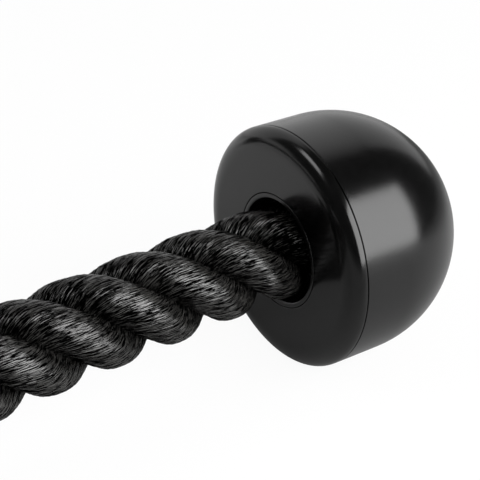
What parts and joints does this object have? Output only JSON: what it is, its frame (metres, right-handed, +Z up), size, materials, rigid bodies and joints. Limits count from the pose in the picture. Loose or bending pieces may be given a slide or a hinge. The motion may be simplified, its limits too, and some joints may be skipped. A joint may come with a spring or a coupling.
{
  "type": "triceps rope attachment",
  "caption": "Cable-machine rope handle: a thick laid rope folded through a bent steel hanger tube with a carabiner eye, each arm ending in a domed plastic ball.",
  "frame": {"origin": "on the surface the attachment lies on, at the bottom centre of the box round the hanger and the two balls", "axes": "+Z up from the surface, +Y from the hanger eye towards the balls, +X across the two arms, which mirror each other about x = 0"},
  "size_m": [0.4456, 0.3816, 0.076],
  "materials": {
    "rope_filament": "black twisted filament, satin sheen",
    "ball_plastic": "black moulded plastic, semi-gloss",
    "bush_plastic": "black moulded plastic, satin",
    "zinc_steel": "zinc-plated steel",
    "hanger_chrome": "chrome-plated steel",
    "weld_steel": "plated weld bead"
  },
  "bodies": {
    "hanger": {"hanger_tube": "hanger_chrome", "hanger_eye": "hanger_chrome", "upper_weld_bead": "weld_steel", "lower_weld_bead": "weld_steel", "rope_center": "rope_filament", "right_rope_neck": "rope_filament", "left_rope_neck": "rope_filament"},
    "right_upper_arm": {"right_rope_upper_grip": "rope_filament", "right_rope_mid": "rope_filament"},
    "right_lower_arm": {"right_rope_lower_grip": "rope_filament", "right_end_ferrule": "zinc_steel"},
    "right_ball": {"right_dome_shell": "ball_plastic", "right_face_cap": "ball_plastic", "right_bore_bush": "bush_plastic", "right_stop_washer": "zinc_steel"},
    "left_upper_arm": {"left_rope_upper_grip": "rope_filament", "left_rope_mid": "rope_filament"},
    "left_lower_arm": {"left_rope_lower_grip": "rope_filament", "left_end_ferrule": "zinc_steel"},
    "left_ball": {"left_dome_shell": "ball_plastic", "left_face_cap": "ball_plastic", "left_bore_bush": "bush_plastic", "left_stop_washer": "zinc_steel"}
  },
  "joints": [
    {"name": "right_arm_spread", "type": "hinge", "parent": "hanger", "child": "right_upper_arm", "pos_m": [0.06, -0.06463, 0.01914], "axis": [0, 0, -1], "range_deg": [-24, 40], "stiffness_Nm_per_rad": 0.5, "deforming": ["right_rope_neck"]},
    {"name": "right_arm_bend", "type": "hinge", "parent": "right_upper_arm", "child": "right_lower_arm", "pos_m": [0.11572, 0.02567, 0.0324], "axis": [0, 0, -1], "range_deg": [-16, 24], "stiffness_Nm_per_rad": 0.5, "deforming": ["right_rope_mid"]},
    {"name": "right_ball_turn", "type": "hinge", "parent": "right_lower_arm", "child": "right_ball", "pos_m": [0.17452, 0.13497, 0.038], "axis": [0.5, 0.866, 0], "continuous": true},
    {"name": "left_arm_spread", "type": "hinge", "parent": "hanger", "child": "left_upper_arm", "pos_m": [-0.06, -0.06463, 0.01914], "axis": [0, 0, 1], "range_deg": [-24, 40], "stiffness_Nm_per_rad": 0.5, "deforming": ["left_rope_neck"]},
    {"name": "left_arm_bend", "type": "hinge", "parent": "left_upper_arm", "child": "left_lower_arm", "pos_m": [-0.11572, 0.02567, 0.0324], "axis": [0, 0, 1], "range_deg": [-16, 24], "stiffness_Nm_per_rad": 0.5, "deforming": ["left_rope_mid"]},
    {"name": "left_ball_turn", "type": "hinge", "parent": "left_lower_arm", "child": "left_ball", "pos_m": [-0.17452, 0.13497, 0.038], "axis": [-0.5, 0.866, 0], "continuous": true}
  ]
}
